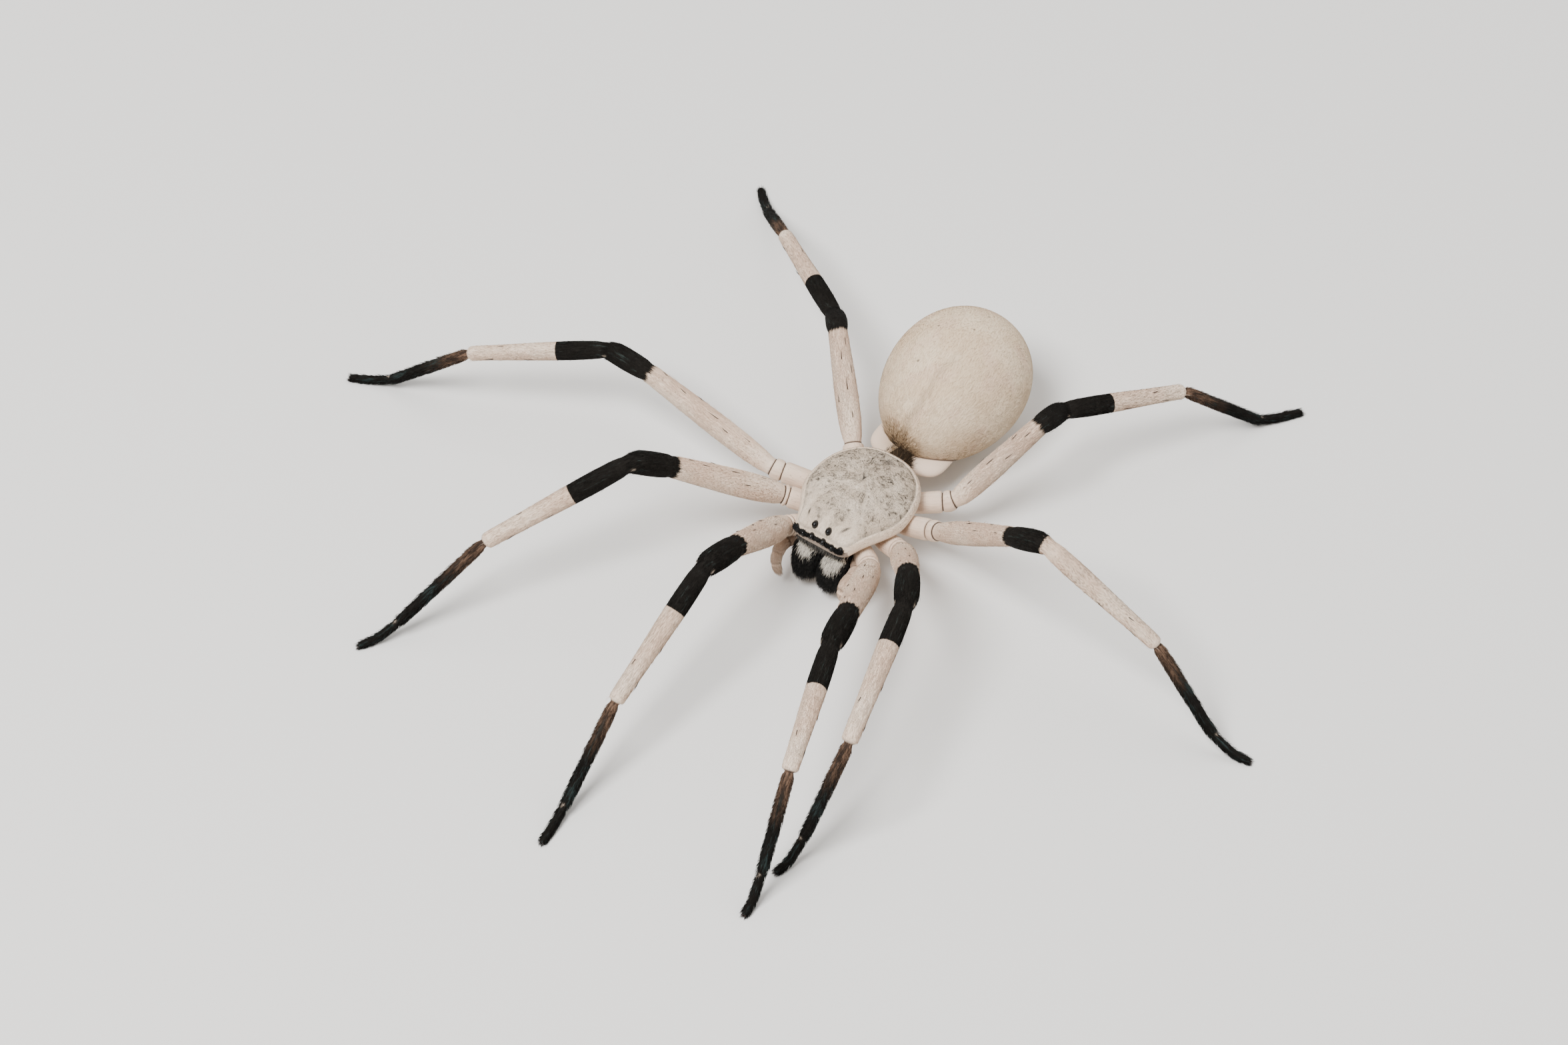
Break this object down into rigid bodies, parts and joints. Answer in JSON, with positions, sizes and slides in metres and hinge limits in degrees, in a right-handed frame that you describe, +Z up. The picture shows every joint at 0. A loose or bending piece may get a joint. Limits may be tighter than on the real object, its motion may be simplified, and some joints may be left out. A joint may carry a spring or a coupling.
{
  "type": "white lady spider",
  "caption": "Life-size still model of a large pale desert huntsman spider, standing with its long black-banded legs spread and a big cream abdomen.",
  "frame": {"origin": "middle of the bounding box, on the floor under the feet", "axes": "+Z up; -Y the way the head points; +X toward the spider's left"},
  "size_m": [0.1034, 0.0892, 0.021],
  "materials": {
    "pale_coat": "pinkish white cuticle under short pale down",
    "banded_coat": "black velvet over the knee and the tibia's root, pale pinkish down beyond",
    "foot_coat": "brown down turning black toward the tip",
    "carapace_coat": "grey-white down with fine grey mottling",
    "abdomen_velvet": "cream velvet with a faint brown midline",
    "jaw_bristle": "black bristle with white tufts in front",
    "eye_black": "glossy black",
    "fang_horn": "polished dark brown horn"
  },
  "bodies": {
    "root": {"carapace": "carapace_coat", "sternum": "pale_coat", "pedicel": "pale_coat", "abdomen": "abdomen_velvet", "spinnerets": "pale_coat", "chelicera_right": "jaw_bristle", "chelicera_left": "jaw_bristle", "fang_right": "fang_horn", "fang_left": "fang_horn", "palp_right": "pale_coat", "palp_left": "pale_coat", "eye_anterior_median_right": "eye_black", "eye_anterior_median_left": "eye_black", "eye_anterior_lateral_right": "eye_black", "eye_anterior_lateral_left": "eye_black", "eye_posterior_median_right": "eye_black", "eye_posterior_median_left": "eye_black", "eye_posterior_lateral_right": "eye_black", "eye_posterior_lateral_left": "eye_black", "leg_1_right_coxa": "pale_coat", "leg_1_right_femur": "pale_coat", "leg_1_right_patella_tibia": "banded_coat", "leg_1_right_metatarsus": "foot_coat", "leg_1_right_tarsus": "foot_coat", "leg_1_left_coxa": "pale_coat", "leg_1_left_femur": "pale_coat", "leg_1_left_patella_tibia": "banded_coat", "leg_1_left_metatarsus": "foot_coat", "leg_1_left_tarsus": "foot_coat", "leg_2_right_coxa": "pale_coat", "leg_2_right_femur": "pale_coat", "leg_2_right_patella_tibia": "banded_coat", "leg_2_right_metatarsus": "foot_coat", "leg_2_right_tarsus": "foot_coat", "leg_2_left_coxa": "pale_coat", "leg_2_left_femur": "pale_coat", "leg_2_left_patella_tibia": "banded_coat", "leg_2_left_metatarsus": "foot_coat", "leg_2_left_tarsus": "foot_coat", "leg_3_right_coxa": "pale_coat", "leg_3_right_femur": "pale_coat", "leg_3_right_patella_tibia": "banded_coat", "leg_3_right_metatarsus": "foot_coat", "leg_3_right_tarsus": "foot_coat", "leg_3_left_coxa": "pale_coat", "leg_3_left_femur": "pale_coat", "leg_3_left_patella_tibia": "banded_coat", "leg_3_left_metatarsus": "foot_coat", "leg_3_left_tarsus": "foot_coat", "leg_4_right_coxa": "pale_coat", "leg_4_right_femur": "pale_coat", "leg_4_right_patella_tibia": "banded_coat", "leg_4_right_metatarsus": "foot_coat", "leg_4_right_tarsus": "foot_coat", "leg_4_left_coxa": "pale_coat", "leg_4_left_femur": "pale_coat", "leg_4_left_patella_tibia": "banded_coat", "leg_4_left_metatarsus": "foot_coat", "leg_4_left_tarsus": "foot_coat"}
  },
  "joints": []
}
